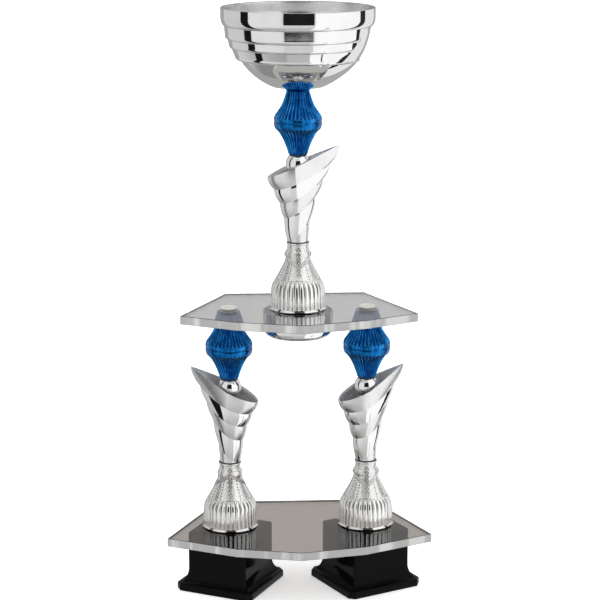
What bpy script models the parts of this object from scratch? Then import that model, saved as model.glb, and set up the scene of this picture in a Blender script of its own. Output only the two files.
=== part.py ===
"""Column trophy: two short columns on square plinths carry an upper shelf,
and a third column on that shelf carries an open metal bowl.

Sizes are in millimetres. They turn into metres when a mesh is finished.
The origin is at the bottom centre of the whole object, +Z is up, and the
front of the trophy faces -Y.
"""

import math

import bmesh
import bpy
from mathutils import Vector

METRES_PER_MM = 0.001

# Clearances
SEAT_GAP = 0.3          # between two pieces that rest on each other
BORE_CLEARANCE = 0.4    # around the rods and around a spigot in its hole

# Columns
COLUMN_SPACING = 129.0  # between the axes of the two lower columns
PLINTH_TURN = 27.0      # degrees, how far each plinth turns outwards
ROD_RADIUS = 3.0
NUT_FLATS = 10.0        # across the flats
NUT_HEIGHT = 5.0
NUT_THREAD_END = 2.0    # rod that stands out of a nut
WASHER_RADIUS = 9.0
WASHER_THICKNESS = 1.2

# Square plinths
PLINTH_HEIGHT = 50.5
PLINTH_FOOT = 79.0      # across the foot
PLINTH_BLOCK = 60.0     # across the block
PLINTH_FOOT_CORNER = 5.0
PLINTH_BLOCK_CORNER = 0.8
PLINTH_FOOT_HEIGHT = 7.6
PLINTH_COVE_TOP = 20.5
PLINTH_WALL = 3.0
BALLAST_WIDTH = 44.0
BALLAST_HEIGHT = 18.0
BALLAST_CORNER = 4.0

# Clear shelves
SHELF_THICKNESS = 8.0
SHELF_EDGE_BEVEL = 0.4
LOWER_SHELF = {
    "apex_depth": 81.0,
    "kink_half_width": 60.0,
    "kink_depth": 68.0,
    "tip_half_width": 124.0,
    "tip_depth": 36.0,
    "back_half_width": 76.5,
    "back_depth": 66.5,
}
UPPER_SHELF = {
    "apex_depth": 69.0,
    "kink_half_width": 60.0,
    "kink_depth": 52.0,
    "tip_half_width": 109.5,
    "tip_depth": 26.0,
    "back_half_width": 67.0,
    "back_depth": 63.0,
}

# Bell-shaped bases
BELL_HEIGHT = 62.6
BELL_SKIRT_RADIUS = 25.0
BELL_RING = 1.9         # how far the foot ring stands out of the skirt
BELL_SIDES = 24
BELL_WALL = 2.2
BELL_LIP_HEIGHT = 1.7   # rim round the foot of the torch

# Torch-shaped sleeves
TORCH_HEIGHT = 91.8     # foot to tip
TORCH_LOW_HEIGHT = 62.2  # foot to the low corner of the mouth
TORCH_TIP_REACH = 38.2
TORCH_LOW_REACH = 28.2
TORCH_FOOT_RADIUS = 9.2
TORCH_WALL = 1.7
TORCH_FLOOR_HEIGHT = 34.0
TORCH_SIDES = 24
TORCH_STEP = 0.6        # how far each band sits inside the one above
TORCH_SHOULDER = 0.12   # widest place towards the low corner, as a share of its reach
LOWER_TORCH_TURN = 20.0  # degrees backwards from straight out

# Ball knobs
KNOB_RADIUS = 11.2
KNOB_TOP_HEIGHT = 82.0  # above the foot of the torch
KNOB_STALK_RADIUS = 6.5

# Fluted spindles
SPINDLE_HEIGHT = 59.2
SPINDLE_RADIUS = 22.0
SPINDLE_FOOT_RADIUS = 8.6
SPINDLE_NECK_RADIUS = 10.2
SPINDLE_SEAM_HEIGHT = 31.0
SPINDLE_WALL = 2.0
SPINDLE_FLUTES = 24

# Cap nuts on the upper shelf
CAP_RADIUS = 7.7
CAP_THICKNESS = 1.8
CAP_SLEEVE_WALL = 1.4
CAP_SLEEVE_REACH = 6.0  # below the underside of the shelf

# Under-dome below the upper shelf
DOME_RADIUS = 32.5
DOME_DEPTH = 18.0
DOME_WALL = 1.2
DOME_BOSS_HEIGHT = 3.0
DOME_BOSS_WALL = 2.0
DOME_SIDES = 28

# Bowl and its flared seat
SEAT_HEIGHT = 3.4
SEAT_RADIUS = 14.4
BOWL_RADIUS = 70.0
BOWL_DEPTH = 71.4
BOWL_WALL = 1.0
BOWL_FLAT_RADIUS = 17.0
BOWL_SIDES = 36

ROUND_SIDES = 16

# Heights that follow from the sizes above
BORE_RADIUS = ROD_RADIUS + BORE_CLEARANCE
SLEEVE_RADIUS = ROD_RADIUS + BORE_CLEARANCE + CAP_SLEEVE_WALL
SLEEVE_HOLE_RADIUS = SLEEVE_RADIUS + BORE_CLEARANCE
LOWER_SHELF_BASE = PLINTH_HEIGHT + SEAT_GAP
LOWER_COLUMN_BASE = LOWER_SHELF_BASE + SHELF_THICKNESS + SEAT_GAP
TORCH_BASE_IN_COLUMN = BELL_HEIGHT - BELL_LIP_HEIGHT + SEAT_GAP
SPINDLE_BASE_IN_COLUMN = TORCH_BASE_IN_COLUMN + KNOB_TOP_HEIGHT + SEAT_GAP
COLUMN_HEIGHT = SPINDLE_BASE_IN_COLUMN + SPINDLE_HEIGHT
UPPER_SHELF_BASE = LOWER_COLUMN_BASE + COLUMN_HEIGHT + SEAT_GAP
UPPER_SHELF_TOP = UPPER_SHELF_BASE + SHELF_THICKNESS
UPPER_COLUMN_BASE = UPPER_SHELF_TOP + SEAT_GAP
SEAT_BASE = UPPER_COLUMN_BASE + COLUMN_HEIGHT + SEAT_GAP
BOWL_BASE = SEAT_BASE + SEAT_HEIGHT + SEAT_GAP
FRONT_REACH = max(LOWER_SHELF["apex_depth"], BOWL_RADIUS)
BACK_REACH = max(LOWER_SHELF["back_depth"], BOWL_RADIUS)
COLUMN_Y = (FRONT_REACH - BACK_REACH) / 2

FINISHES = {
    "chrome": ((0.86, 0.87, 0.88), 0.08, 1.0),
    "blue": ((0.02, 0.14, 0.50), 0.35, 0.4),
    "black": ((0.012, 0.012, 0.014), 0.12, 0.0),
    "clear": ((0.80, 0.83, 0.84), 0.05, 0.0),
    "cream": ((0.78, 0.75, 0.68), 0.45, 0.0),
    "steel": ((0.55, 0.56, 0.58), 0.35, 1.0),
    "iron": ((0.16, 0.16, 0.17), 0.7, 0.8),
}


def clear_scene():
    for old in list(bpy.data.objects):
        bpy.data.objects.remove(old, do_unlink=True)


def finish_material(finish):
    material = bpy.data.materials.get(finish) or bpy.data.materials.new(finish)
    material.use_nodes = True
    colour, roughness, metallic = FINISHES[finish]
    shader = material.node_tree.nodes["Principled BSDF"]
    shader.inputs["Base Color"].default_value = (*colour, 1.0)
    shader.inputs["Roughness"].default_value = roughness
    shader.inputs["Metallic"].default_value = metallic
    material.diffuse_color = (*colour, 1.0)
    return material


def add_piece(name, shape, finish, place=(0.0, 0.0, 0.0), turn=0.0, crease=30.0):
    """Turn a bmesh in millimetres into a named object in metres."""
    bmesh.ops.remove_doubles(shape, verts=shape.verts, dist=0.001)
    bmesh.ops.recalc_face_normals(shape, faces=shape.faces)
    bmesh.ops.scale(shape, vec=Vector((METRES_PER_MM,) * 3), verts=shape.verts)
    mesh = bpy.data.meshes.new(name)
    shape.to_mesh(mesh)
    shape.free()
    mesh.shade_smooth()
    mesh.set_sharp_from_angle(angle=math.radians(crease))
    piece = bpy.data.objects.new(name, mesh)
    bpy.context.scene.collection.objects.link(piece)
    piece.data.materials.append(finish_material(finish))
    piece.location = Vector(place) * METRES_PER_MM
    piece.rotation_euler = (0.0, 0.0, math.radians(turn))
    return piece


def turned(profile, sides):
    """Spin a closed outline of (radius, height) points round the Z axis.

    A stretch of the outline that runs along the axis itself makes no surface.
    """
    shape = bmesh.new()
    points = [shape.verts.new((radius, 0.0, height)) for radius, height in profile]
    for here, there in zip(points, points[1:] + points[:1]):
        if here.co.x > 0 or there.co.x > 0:
            shape.edges.new((here, there))
    bmesh.ops.spin(shape, geom=shape.verts[:] + shape.edges[:], cent=(0, 0, 0),
                   axis=(0, 0, 1), angle=math.tau, steps=sides, use_merge=True)
    return shape


def lofted(rings):
    """Skin closed rings of equal length, from the first to the last and back."""
    shape = bmesh.new()
    loops = [[shape.verts.new(point) for point in ring] for ring in rings]
    for lower, upper in zip(loops, loops[1:] + loops[:1]):
        for here, there in zip(range(-1, len(lower) - 1), range(len(lower))):
            shape.faces.new((lower[here], lower[there], upper[there], upper[here]))
    return shape


def circle_ring(radius, height, sides):
    return [Vector((radius * math.cos(step * math.tau / sides),
                    radius * math.sin(step * math.tau / sides), height))
            for step in range(sides)]


def square_ring(width, corner, height):
    """A square with cut corners, as eight points."""
    half = width / 2
    inner = half - corner
    return [Vector((half, -inner, height)), Vector((half, inner, height)),
            Vector((inner, half, height)), Vector((-inner, half, height)),
            Vector((-half, inner, height)), Vector((-half, -inner, height)),
            Vector((-inner, -half, height)), Vector((inner, -half, height))]


def octagon_bore_ring(radius, height):
    """Eight points in step with square_ring, outside a circle of the radius."""
    reach = radius / math.cos(math.pi / 8)
    return [Vector((reach * math.cos(math.radians(angle)),
                    reach * math.sin(math.radians(angle)), height))
            for angle in range(-22, 338, 45)]


# ---------------------------------------------------------------- fasteners

def hex_ring(height):
    """A hexagon as twelve points, six corners and six middles of flats."""
    corner = NUT_FLATS / 2 / math.cos(math.pi / 6)
    reaches = (corner, NUT_FLATS / 2)
    return [Vector((reaches[step % 2] * math.cos(step * math.pi / 6),
                    reaches[step % 2] * math.sin(step * math.pi / 6), height))
            for step in range(12)]


def nut(name, place):
    rings = [hex_ring(0.0), hex_ring(NUT_HEIGHT),
             circle_ring(BORE_RADIUS, NUT_HEIGHT, 12), circle_ring(BORE_RADIUS, 0.0, 12)]
    return add_piece(name, lofted(rings), "steel", place)


def washer(name, place):
    outline = [(WASHER_RADIUS, 0.0), (WASHER_RADIUS, WASHER_THICKNESS),
               (BORE_RADIUS, WASHER_THICKNESS), (BORE_RADIUS, 0.0)]
    return add_piece(name, turned(outline, ROUND_SIDES), "steel", place)


def threaded_rod(name, place, length):
    shape = bmesh.new()
    bmesh.ops.create_cone(shape, cap_ends=True, segments=12, radius1=ROD_RADIUS,
                          radius2=ROD_RADIUS, depth=length)
    bmesh.ops.translate(shape, vec=(0, 0, length / 2), verts=shape.verts)
    return add_piece(name, shape, "steel", place)


# ------------------------------------------------------------------- plinth

def plinth(name, place, turn):
    """Square moulded base, hollow and open underneath."""
    cove = PLINTH_COVE_TOP - PLINTH_FOOT_HEIGHT
    step = (PLINTH_FOOT - PLINTH_BLOCK) / 2
    foot_edge = 1.4
    outside = [
        (PLINTH_FOOT - 2 * foot_edge, PLINTH_FOOT_CORNER, 0.0),
        (PLINTH_FOOT, PLINTH_FOOT_CORNER, foot_edge),
        (PLINTH_FOOT, PLINTH_FOOT_CORNER, PLINTH_FOOT_HEIGHT - foot_edge),
        (PLINTH_FOOT - 2 * foot_edge, PLINTH_FOOT_CORNER, PLINTH_FOOT_HEIGHT),
    ]
    for angle in (20.0, 50.0, 80.0):
        slide = 1 - math.sin(math.radians(angle))
        rise = 1 - math.cos(math.radians(angle))
        width = PLINTH_BLOCK + 2 * (step - foot_edge) * slide
        outside.append((width, PLINTH_BLOCK_CORNER, PLINTH_FOOT_HEIGHT + cove * rise))
    outside.append((PLINTH_BLOCK, PLINTH_BLOCK_CORNER, PLINTH_COVE_TOP))
    outside.append((PLINTH_BLOCK, PLINTH_BLOCK_CORNER, PLINTH_HEIGHT))
    hollow = PLINTH_BLOCK - 2 * PLINTH_WALL
    ceiling = PLINTH_HEIGHT - PLINTH_WALL
    rings = [square_ring(*ring) for ring in outside]
    rings.append(octagon_bore_ring(BORE_RADIUS, PLINTH_HEIGHT))
    rings.append(octagon_bore_ring(BORE_RADIUS, ceiling))
    rings.append(square_ring(hollow, PLINTH_WALL, ceiling))
    rings.append(square_ring(hollow, PLINTH_WALL, 0.0))
    return add_piece(name, lofted(rings), "black", place, turn)


def plinth_weight(name, place, turn):
    """Cast block that keeps the light plastic plinth from tipping."""
    rings = [square_ring(BALLAST_WIDTH, BALLAST_CORNER, 0.0),
             square_ring(BALLAST_WIDTH, BALLAST_CORNER, BALLAST_HEIGHT),
             octagon_bore_ring(BORE_RADIUS, BALLAST_HEIGHT),
             octagon_bore_ring(BORE_RADIUS, 0.0)]
    return add_piece(name, lofted(rings), "iron", place, turn)


# ------------------------------------------------------------------- shelves

def shelf(name, sizes, base, holes):
    """Clear seven-sided plate, with a hole for each (x, radius)."""
    right = [(sizes["back_half_width"], sizes["back_depth"]),
             (sizes["tip_half_width"], -sizes["tip_depth"]),
             (sizes["kink_half_width"], -sizes["kink_depth"])]
    left = [(-x, y) for x, y in reversed(right)]
    outline = right + [(0.0, -sizes["apex_depth"])] + left
    shape = bmesh.new()
    corners = [shape.verts.new((x, y, 0.0)) for x, y in outline]
    face = shape.faces.new(corners)
    grown = bmesh.ops.extrude_face_region(shape, geom=[face])
    raised = [item for item in grown["geom"] if isinstance(item, bmesh.types.BMVert)]
    bmesh.ops.translate(shape, vec=(0, 0, SHELF_THICKNESS), verts=raised)
    rims = [edge for edge in shape.edges
            if abs(edge.verts[0].co.z - edge.verts[1].co.z) < SHELF_THICKNESS / 2]
    bmesh.ops.bevel(shape, geom=rims, offset=SHELF_EDGE_BEVEL, segments=1,
                    profile=0.5, affect="EDGES", material=-1)
    plate = add_piece(name, shape, "clear", (0.0, COLUMN_Y, base), crease=5.0)
    for index, (x, radius) in enumerate(holes):
        drill(plate, f"{name}_drill_{index}", (x, COLUMN_Y, base), radius)
    return plate


def drill(plate, name, place, radius):
    cutter_shape = bmesh.new()
    bmesh.ops.create_cone(cutter_shape, cap_ends=True, segments=ROUND_SIDES,
                          radius1=radius, radius2=radius, depth=3 * SHELF_THICKNESS)
    bmesh.ops.translate(cutter_shape, vec=(0, 0, SHELF_THICKNESS / 2),
                        verts=cutter_shape.verts)
    cutter = add_piece(name, cutter_shape, "clear", place)
    cutter.hide_render = True
    cutter.display_type = "WIRE"
    cut = plate.modifiers.new(name, "BOOLEAN")
    cut.operation = "DIFFERENCE"
    cut.solver = "EXACT"
    cut.object = cutter


# ------------------------------------------------------------------ columns

def bell(name, place):
    """Bell-shaped base with a recess at the top for the foot of the torch."""
    skirt = BELL_SKIRT_RADIUS
    foot = TORCH_FOOT_RADIUS
    tall = BELL_HEIGHT - BELL_LIP_HEIGHT
    neck = foot + 0.5
    recess = foot + BORE_CLEARANCE
    ceiling = tall - 2 * BELL_WALL
    outline = [
        (skirt + BELL_RING, 0.0),
        (skirt + BELL_RING, 0.03 * tall),
        (skirt + 0.9, 0.04 * tall),
        (skirt - 0.3, 0.34 * tall),
        (skirt - 1.5, 0.375 * tall),
        (foot + 11.8, 0.455 * tall),
        (foot + 8.7, 0.54 * tall),
        (foot + 4.6, 0.655 * tall),
        (foot + 2.6, 0.73 * tall),
        (foot + 3.0, 0.80 * tall),
        (foot + 2.9, 0.87 * tall),
        (neck, 0.915 * tall),
        (foot + 1.2, tall),
        (foot + 1.2, BELL_HEIGHT),
        (recess, BELL_HEIGHT),
        (recess, tall),
        (BORE_RADIUS, tall),
        (BORE_RADIUS, ceiling),
        (neck - BELL_WALL, ceiling),
        (foot + 2.6 - BELL_WALL, 0.70 * tall),
        (skirt - 0.8 - BELL_WALL, 0.31 * tall),
        (skirt - BELL_WALL, 0.0),
    ]
    return add_piece(name, turned(outline, BELL_SIDES), "chrome", place)


def leaf_ring(tip_reach, tip_height, low_reach, low_height, half_width, sharpness):
    """One oblique ring of a torch, pointed at the tip and blunt at the low corner.

    A round low end meets two nearly straight sides at the shoulder. As sharpness
    goes from 0 to 1 the outline changes from a circle to that leaf. Height follows
    the slope from low corner to tip.
    """
    shoulder = TORCH_SHOULDER * low_reach * sharpness
    tip_power = 2.0 / (2.0 - 0.85 * sharpness)
    low_power = 2.0 / (2.0 - 0.15 * sharpness)
    slope = (tip_height - low_height) / (tip_reach + low_reach)
    points = []
    for step in range(TORCH_SIDES):
        angle = step * math.tau / TORCH_SIDES
        along = math.cos(angle)
        across = math.sin(angle)
        reach, power = tip_reach + shoulder, tip_power
        if along < 0:
            reach, power = low_reach - shoulder, low_power
        x = math.copysign(reach * abs(along) ** power, along) - shoulder
        y = math.copysign(half_width * abs(across) ** power, across)
        points.append(Vector((x, y, low_height + slope * (x + low_reach))))
    return points


def torch(name, place, turn):
    """Flared sleeve in four overlapping bands with an oblique, hollow mouth."""
    foot = TORCH_FOOT_RADIUS
    tip = TORCH_HEIGHT
    low = TORCH_LOW_HEIGHT
    far = TORCH_TIP_REACH
    near = TORCH_LOW_REACH
    mouth = KNOB_RADIUS + BORE_CLEARANCE + TORCH_WALL + 4.2
    # tip reach, tip height, low reach, low height, half width, sharpness
    steps = [
        (foot, 0.0, foot, 0.0, foot, 0.0),
        (0.31 * far, 0.255 * tip, 0.34 * near, 0.05 * low, 0.56 * mouth, 0.10),
        (0.44 * far, 0.48 * tip, 0.47 * near, 0.39 * low, 0.70 * mouth, 0.40),
        (0.645 * far, 0.655 * tip, 0.60 * near, 0.615 * low, 0.83 * mouth, 0.65),
        (0.78 * far, 0.795 * tip, 0.80 * near, 0.82 * low, 0.92 * mouth, 0.85),
        (far, tip, near, low, mouth, 1.0),
    ]
    rings = [leaf_ring(*steps[0])]
    for below, above in zip(steps, steps[1:]):
        middle = [0.45 * a + 0.55 * b for a, b in zip(below, above)]
        if below is not steps[0]:
            middle[2] += TORCH_STEP
            middle[4] += TORCH_STEP / 2
        rings.append(leaf_ring(*middle))
        if above is steps[-1]:
            rings.append(leaf_ring(*above))
            continue
        under = list(above)
        under[0] -= TORCH_STEP
        under[2] -= TORCH_STEP
        under[4] -= TORCH_STEP
        under[1] -= TORCH_STEP
        under[3] -= TORCH_STEP
        rings.append(leaf_ring(*under))
        rings.append(leaf_ring(*above))
    slope = (tip - low) / (far + near)
    tip_wall = 2.0 * TORCH_WALL
    rings.append(leaf_ring(far - tip_wall, tip - slope * tip_wall, near - TORCH_WALL,
                           low + slope * TORCH_WALL, mouth - TORCH_WALL, 1.0))
    for index, thick in ((4, 1.4), (3, 1.3)):
        reach_tip, high, reach_low, lowest, half, sharp = steps[index]
        rings.append(leaf_ring(reach_tip - thick * TORCH_WALL, high,
                               reach_low - thick * TORCH_WALL, lowest,
                               half - thick * TORCH_WALL, sharp))
    floor = foot
    rings.append(circle_ring(floor, TORCH_FLOOR_HEIGHT, TORCH_SIDES))
    rings.append(circle_ring(BORE_RADIUS, TORCH_FLOOR_HEIGHT, TORCH_SIDES))
    rings.append(circle_ring(BORE_RADIUS, 0.0, TORCH_SIDES))
    return add_piece(name, lofted(rings), "chrome", place, turn)


def knob(name, place):
    """Ball that stands on a stalk inside the torch and carries the spindle."""
    top_radius = SPINDLE_FOOT_RADIUS - 0.4
    stalk_base = TORCH_FLOOR_HEIGHT + SEAT_GAP
    centre = KNOB_TOP_HEIGHT - math.sqrt(KNOB_RADIUS ** 2 - top_radius ** 2)
    first = math.asin(top_radius / KNOB_RADIUS)
    last = math.pi - math.asin(KNOB_STALK_RADIUS / KNOB_RADIUS)
    outline = [(BORE_RADIUS, stalk_base), (BORE_RADIUS, KNOB_TOP_HEIGHT)]
    steps = 7
    for step in range(steps + 1):
        angle = first + (last - first) * step / steps
        outline.append((KNOB_RADIUS * math.sin(angle),
                        centre + KNOB_RADIUS * math.cos(angle)))
    outline.append((KNOB_STALK_RADIUS, stalk_base))
    return add_piece(name, turned(outline, ROUND_SIDES), "chrome", place)


def spindle_lower_half(name, place):
    wall = SPINDLE_WALL
    seam = SPINDLE_SEAM_HEIGHT
    foot = SPINDLE_FOOT_RADIUS
    belly = SPINDLE_RADIUS
    outline = [
        (foot, 0.0),
        (foot + 1.0, 0.17 * seam),
        (foot + 2.4, 0.34 * seam),
        (foot + 4.6, 0.47 * seam),
        (foot + 7.9, 0.65 * seam),
        (belly - 1.4, 0.80 * seam),
        (belly, seam - SEAT_GAP / 2),
        (belly - wall, seam - SEAT_GAP / 2),
        (belly - 2.6 - wall, 0.80 * seam),
        (foot + 2.4 - wall, 0.40 * seam),
        (foot - wall, 0.16 * seam),
        (BORE_RADIUS, 0.16 * seam),
        (BORE_RADIUS, 0.0),
    ]
    return add_piece(name, turned(outline, SPINDLE_FLUTES), "blue", place)


def spindle_upper_half(name, place):
    wall = SPINDLE_WALL
    seam = SPINDLE_SEAM_HEIGHT
    rise = SPINDLE_HEIGHT - seam
    neck = SPINDLE_NECK_RADIUS
    belly = SPINDLE_RADIUS
    outline = [
        (belly, seam + SEAT_GAP / 2),
        (belly, seam + 0.12 * rise),
        (belly - 0.8, seam + 0.17 * rise),
        (neck + 7.6, seam + 0.39 * rise),
        (neck + 4.2, seam + 0.57 * rise),
        (neck + 1.3, seam + 0.81 * rise),
        (neck, SPINDLE_HEIGHT),
        (SLEEVE_HOLE_RADIUS, SPINDLE_HEIGHT),
        (SLEEVE_HOLE_RADIUS, SPINDLE_HEIGHT - CAP_SLEEVE_REACH - 2 * wall),
        (neck + 1.3 - wall, seam + 0.66 * rise),
        (neck + 6.0 - wall, seam + 0.39 * rise),
        (belly - wall, seam + 0.10 * rise),
        (belly - wall, seam + SEAT_GAP / 2),
    ]
    return add_piece(name, turned(outline, SPINDLE_FLUTES), "blue", place)


def column(prefix, x, base, torch_turn):
    """Bell, torch, knob and the two halves of the spindle, from the bottom up."""
    place = (x, COLUMN_Y, base)
    torch_place = (x, COLUMN_Y, base + TORCH_BASE_IN_COLUMN)
    spindle_place = (x, COLUMN_Y, base + SPINDLE_BASE_IN_COLUMN)
    bell(f"{prefix}_bell", place)
    torch(f"{prefix}_torch", torch_place, torch_turn)
    knob(f"{prefix}_knob", torch_place)
    spindle_lower_half(f"{prefix}_spindle_lower_half", spindle_place)
    spindle_upper_half(f"{prefix}_spindle_upper_half", spindle_place)


def cap_nut(name, x):
    """Thin headed nut whose sleeve passes through the shelf onto the rod."""
    underside = UPPER_SHELF_TOP + SEAT_GAP
    sleeve_end = UPPER_SHELF_BASE - CAP_SLEEVE_REACH
    blind = CAP_THICKNESS / 2
    outline = [
        (BORE_RADIUS, sleeve_end - underside),
        (SLEEVE_RADIUS, sleeve_end - underside),
        (SLEEVE_RADIUS, 0.0),
        (CAP_RADIUS, 0.0),
        (CAP_RADIUS, CAP_THICKNESS - 0.5),
        (CAP_RADIUS - 0.6, CAP_THICKNESS),
        (0.0, CAP_THICKNESS),
        (0.0, blind),
        (BORE_RADIUS, blind),
    ]
    shape = turned(outline, ROUND_SIDES)
    return add_piece(name, shape, "cream", (x, COLUMN_Y, underside))


def lower_column(side, x):
    turn = PLINTH_TURN if x > 0 else -PLINTH_TURN
    outward = LOWER_TORCH_TURN if x > 0 else 180.0 - LOWER_TORCH_TURN
    ceiling = PLINTH_HEIGHT - PLINTH_WALL
    weight_base = ceiling - SEAT_GAP - BALLAST_HEIGHT
    washer_base = weight_base - SEAT_GAP - WASHER_THICKNESS
    nut_base = washer_base - SEAT_GAP - NUT_HEIGHT
    rod_base = nut_base - NUT_THREAD_END
    rod_top = UPPER_SHELF_TOP - SEAT_GAP
    plinth(f"{side}_plinth", (x, COLUMN_Y, 0.0), turn)
    plinth_weight(f"{side}_plinth_weight", (x, COLUMN_Y, weight_base), turn)
    washer(f"{side}_rod_washer", (x, COLUMN_Y, washer_base))
    nut(f"{side}_rod_nut", (x, COLUMN_Y, nut_base))
    threaded_rod(f"{side}_rod", (x, COLUMN_Y, rod_base), rod_top - rod_base)
    column(side, x, LOWER_COLUMN_BASE, outward)
    cap_nut(f"{side}_cap_nut", x)


# --------------------------------------------------------- upper column, bowl

def under_dome():
    """Round polished cup, screwed up onto the rod with a boss in its floor."""
    rim = UPPER_SHELF_BASE - SEAT_GAP
    curve = ((1.0, 0.0), (0.995, 0.42), (0.98, 0.68), (0.92, 0.85), (0.79, 0.95))
    outer = [(DOME_RADIUS * reach, -DOME_DEPTH * drop) for reach, drop in curve]
    outer.append((0.52 * DOME_RADIUS, -DOME_DEPTH))
    inner = [(DOME_RADIUS * reach - DOME_WALL, DOME_WALL * drop - DOME_DEPTH * drop)
             for reach, drop in curve[::-2]]
    floor = DOME_WALL - DOME_DEPTH
    boss = [(0.0, -DOME_DEPTH), (0.0, floor), (BORE_RADIUS, floor),
            (BORE_RADIUS, floor + DOME_BOSS_HEIGHT),
            (BORE_RADIUS + DOME_BOSS_WALL, floor + DOME_BOSS_HEIGHT),
            (BORE_RADIUS + DOME_BOSS_WALL, floor)]
    shape = turned(outer + boss + inner, DOME_SIDES)
    return add_piece("under_dome", shape, "chrome", (0.0, COLUMN_Y, rim))


def bowl_seat():
    """Fluted flare on top of the upper spindle, with a spigot down into it."""
    neck = SPINDLE_NECK_RADIUS
    tall = SEAT_HEIGHT
    outline = [
        (SLEEVE_RADIUS, -CAP_SLEEVE_REACH),
        (SLEEVE_RADIUS, 0.0),
        (neck, 0.0),
        (neck + 0.28 * (SEAT_RADIUS - neck), 0.35 * tall),
        (SEAT_RADIUS - 0.4, 0.80 * tall),
        (SEAT_RADIUS, tall),
        (BORE_RADIUS, tall),
        (BORE_RADIUS, -CAP_SLEEVE_REACH),
    ]
    shape = turned(outline, SPINDLE_FLUTES)
    return add_piece("bowl_seat", shape, "blue", (0.0, COLUMN_Y, SEAT_BASE))


def bowl():
    """Deep bowl with a flat foot, a round belly and four bands above it.

    Each band starts with a tuck, curls out over its lower edge and then runs
    up to the next tuck. The last one runs up to the rim.
    """
    radius = BOWL_RADIUS
    tall = BOWL_DEPTH
    wall = BOWL_WALL
    belly_radius = 0.886 * radius
    belly_centre = 0.8025 * tall
    belly_angles = [math.radians(angle) for angle in (27, 35, 43, 51, 58)]
    # tuck radius, upright radius, tuck height, height of the curl
    bands = ((0.770, 0.815, 0.334, 0.05), (0.855, 0.892, 0.484, 0.045),
             (0.902, 0.943, 0.597, 0.06), (0.947, 1.0, 0.765, 0.12))
    outside = [(BOWL_FLAT_RADIUS, 0.0), (BOWL_FLAT_RADIUS + 5.5, 0.6)]
    for angle in belly_angles:
        outside.append((belly_radius * math.sin(angle),
                        belly_centre - belly_radius * math.cos(angle)))
    inside = [(BOWL_FLAT_RADIUS, wall)]
    for angle in belly_angles[::2]:
        outward = belly_radius - wall
        inside.append((outward * math.sin(angle),
                       belly_centre - outward * math.cos(angle)))
    for tuck, upright, height, curl in bands:
        outside.append((tuck * radius, height * tall))
        for angle in (30, 60, 90):
            turn = math.radians(angle)
            reach = tuck + (upright - tuck) * math.sin(turn)
            outside.append((reach * radius, (height + curl * (1 - math.cos(turn))) * tall))
        inside.append((tuck * radius - wall, height * tall))
    outside.append((radius, tall))
    inside.append((radius - wall, (bands[-1][2] + bands[-1][3]) * tall))
    inside.append((radius - wall, tall))
    outline = outside + inside[::-1] + [(BORE_RADIUS, wall), (BORE_RADIUS, 0.0)]
    return add_piece("bowl", turned(outline, BOWL_SIDES), "chrome",
                     (0.0, COLUMN_Y, BOWL_BASE))


def upper_column():
    washer_base = UPPER_SHELF_BASE - SEAT_GAP - WASHER_THICKNESS
    nut_base = washer_base - SEAT_GAP - NUT_HEIGHT
    rod_base = UPPER_SHELF_BASE - DOME_DEPTH + DOME_WALL
    bowl_washer_base = BOWL_BASE + BOWL_WALL + SEAT_GAP
    bowl_nut_base = bowl_washer_base + WASHER_THICKNESS + SEAT_GAP
    rod_top = bowl_nut_base + NUT_HEIGHT + NUT_THREAD_END
    under_dome()
    washer("upper_rod_washer", (0.0, COLUMN_Y, washer_base))
    nut("upper_rod_nut", (0.0, COLUMN_Y, nut_base))
    threaded_rod("upper_rod", (0.0, COLUMN_Y, rod_base), rod_top - rod_base)
    column("upper", 0.0, UPPER_COLUMN_BASE, 0.0)
    bowl_seat()
    bowl()
    washer("bowl_washer", (0.0, COLUMN_Y, bowl_washer_base))
    nut("bowl_nut", (0.0, COLUMN_Y, bowl_nut_base))


def main():
    clear_scene()
    half_spacing = COLUMN_SPACING / 2
    lower_column("left", -half_spacing)
    lower_column("right", half_spacing)
    shelf("lower_shelf", LOWER_SHELF, LOWER_SHELF_BASE,
          [(-half_spacing, BORE_RADIUS), (half_spacing, BORE_RADIUS)])
    shelf("upper_shelf", UPPER_SHELF, UPPER_SHELF_BASE,
          [(-half_spacing, SLEEVE_HOLE_RADIUS), (half_spacing, SLEEVE_HOLE_RADIUS),
           (0.0, BORE_RADIUS)])
    upper_column()


main()
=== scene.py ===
"""Looks for the column trophy.

Bowl and its nut, seat, spindles, knobs, torches, bells, plinths, caps and the
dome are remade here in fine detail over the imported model. The clear shelves,
rods, washers, rod nuts and weights keep its shapes and only get a finish.
Outlines are in millimetres, as (radius, height) above a piece's own foot, and
turn into metres when a piece is finished.
An azimuth of 0 faces the front (-Y), and grows towards +X.
"""
import math

import bmesh
import bpy
from mathutils import Matrix, Vector
from mathutils.geometry import interpolate_bezier


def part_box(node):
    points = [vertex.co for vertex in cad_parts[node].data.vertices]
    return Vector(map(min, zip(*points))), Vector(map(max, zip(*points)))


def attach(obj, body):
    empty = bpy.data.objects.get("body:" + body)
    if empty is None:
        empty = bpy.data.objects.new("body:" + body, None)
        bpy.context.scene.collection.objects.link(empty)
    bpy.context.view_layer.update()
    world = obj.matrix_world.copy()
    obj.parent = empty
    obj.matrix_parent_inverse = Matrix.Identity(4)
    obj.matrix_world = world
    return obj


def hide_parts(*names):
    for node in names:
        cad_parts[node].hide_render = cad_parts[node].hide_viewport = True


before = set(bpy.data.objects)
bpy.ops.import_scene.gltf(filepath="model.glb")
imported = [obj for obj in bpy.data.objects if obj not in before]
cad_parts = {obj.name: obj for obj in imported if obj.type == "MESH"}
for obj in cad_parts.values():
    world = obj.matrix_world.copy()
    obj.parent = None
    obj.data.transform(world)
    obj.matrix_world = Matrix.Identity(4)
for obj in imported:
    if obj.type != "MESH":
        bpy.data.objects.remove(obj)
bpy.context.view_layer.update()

MM = 0.001
BORE = 3.4              # bore of every piece that a rod passes through
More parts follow.
